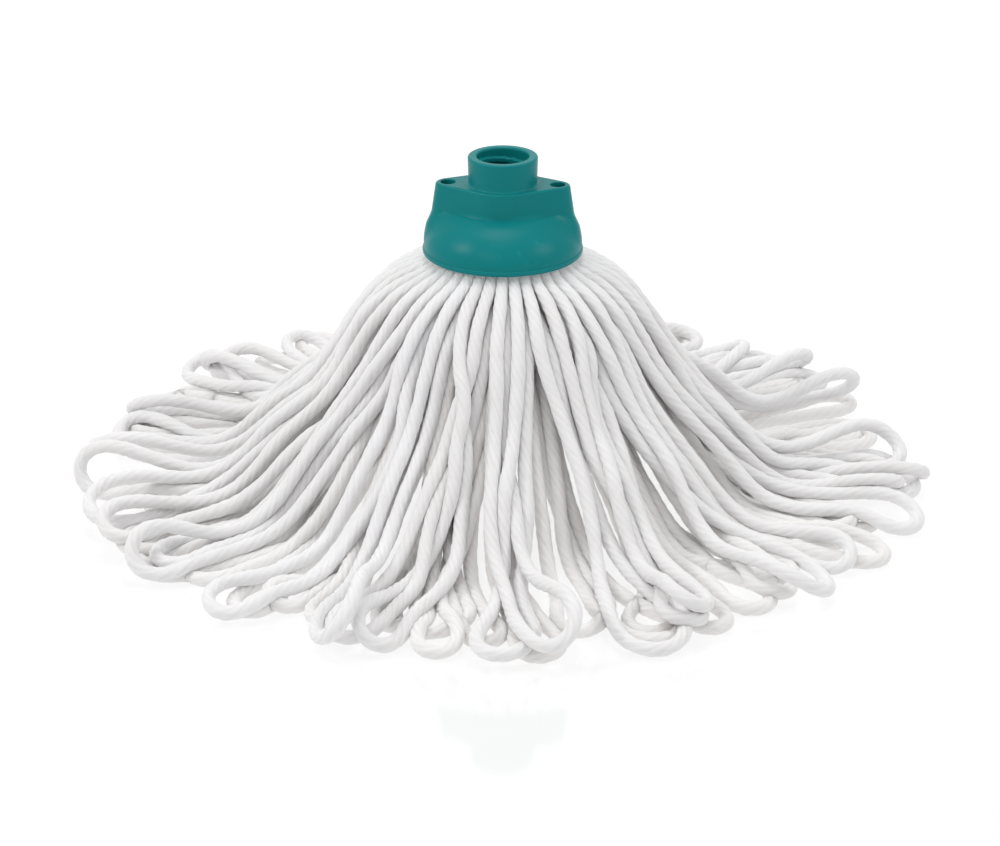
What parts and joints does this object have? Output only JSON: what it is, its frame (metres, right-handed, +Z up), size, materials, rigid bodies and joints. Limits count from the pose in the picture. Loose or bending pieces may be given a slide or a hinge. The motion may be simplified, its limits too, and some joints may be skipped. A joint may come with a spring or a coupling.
{
  "type": "string mop head",
  "caption": "Screw-on mop head: a moulded cap with a threaded handle socket and two ears holds a hank of looped cotton yarn that spreads in a skirt.",
  "frame": {"origin": "on the floor under the middle of the cap", "axes": "+Z up along the handle socket's axis; the cap's two ears lie along X"},
  "size_m": [0.3786, 0.3786, 0.1482],
  "materials": {
    "cap_plastic": "satin teal moulding",
    "bar_plastic": "natural moulding",
    "screw_steel": "zinc plated",
    "cotton_yarn": "soft twisted yarn",
    "inner_yarn": "soft twisted yarn, packed"
  },
  "bodies": {
    "head": {"socket_cap": "cap_plastic", "yarn_bar": "bar_plastic", "bar_screw_left": "screw_steel", "bar_screw_right": "screw_steel", "yarn_fold": "inner_yarn", "strand_core": "inner_yarn"},
    "tuft_1": {"strand_loop_01": "cotton_yarn", "strand_loop_02": "cotton_yarn", "strand_loop_03": "cotton_yarn"},
    "tuft_2": {"strand_loop_04": "cotton_yarn", "strand_loop_05": "cotton_yarn", "strand_loop_06": "cotton_yarn"},
    "tuft_3": {"strand_loop_07": "cotton_yarn", "strand_loop_08": "cotton_yarn", "strand_loop_09": "cotton_yarn"},
    "tuft_4": {"strand_loop_10": "cotton_yarn", "strand_loop_11": "cotton_yarn", "strand_loop_12": "cotton_yarn"},
    "tuft_5": {"strand_loop_13": "cotton_yarn", "strand_loop_14": "cotton_yarn", "strand_loop_15": "cotton_yarn"},
    "tuft_6": {"strand_loop_16": "cotton_yarn", "strand_loop_17": "cotton_yarn", "strand_loop_18": "cotton_yarn"},
    "tuft_7": {"strand_loop_19": "cotton_yarn", "strand_loop_20": "cotton_yarn", "strand_loop_21": "cotton_yarn"},
    "tuft_8": {"strand_loop_22": "cotton_yarn", "strand_loop_23": "cotton_yarn", "strand_loop_24": "cotton_yarn"}
  },
  "joints": [
    {"name": "tuft_1_lift", "type": "hinge", "parent": "head", "child": "tuft_1", "pos_m": [0.02846, 0.01179, 0.1049], "axis": [0.3827, -0.9239, 0], "range_deg": [0, 30]},
    {"name": "tuft_2_lift", "type": "hinge", "parent": "head", "child": "tuft_2", "pos_m": [0.01179, 0.02846, 0.1049], "axis": [0.9239, -0.3827, 0], "range_deg": [0, 30]},
    {"name": "tuft_3_lift", "type": "hinge", "parent": "head", "child": "tuft_3", "pos_m": [-0.01179, 0.02846, 0.1049], "axis": [0.9239, 0.3827, 0], "range_deg": [0, 30]},
    {"name": "tuft_4_lift", "type": "hinge", "parent": "head", "child": "tuft_4", "pos_m": [-0.02846, 0.01179, 0.1049], "axis": [0.3827, 0.9239, 0], "range_deg": [0, 30]},
    {"name": "tuft_5_lift", "type": "hinge", "parent": "head", "child": "tuft_5", "pos_m": [-0.02846, -0.01179, 0.1049], "axis": [-0.3827, 0.9239, 0], "range_deg": [0, 30]},
    {"name": "tuft_6_lift", "type": "hinge", "parent": "head", "child": "tuft_6", "pos_m": [-0.01179, -0.02846, 0.1049], "axis": [-0.9239, 0.3827, 0], "range_deg": [0, 30]},
    {"name": "tuft_7_lift", "type": "hinge", "parent": "head", "child": "tuft_7", "pos_m": [0.01179, -0.02846, 0.1049], "axis": [-0.9239, -0.3827, 0], "range_deg": [0, 30]},
    {"name": "tuft_8_lift", "type": "hinge", "parent": "head", "child": "tuft_8", "pos_m": [0.02846, -0.01179, 0.1049], "axis": [-0.3827, -0.9239, 0], "range_deg": [0, 30]}
  ]
}
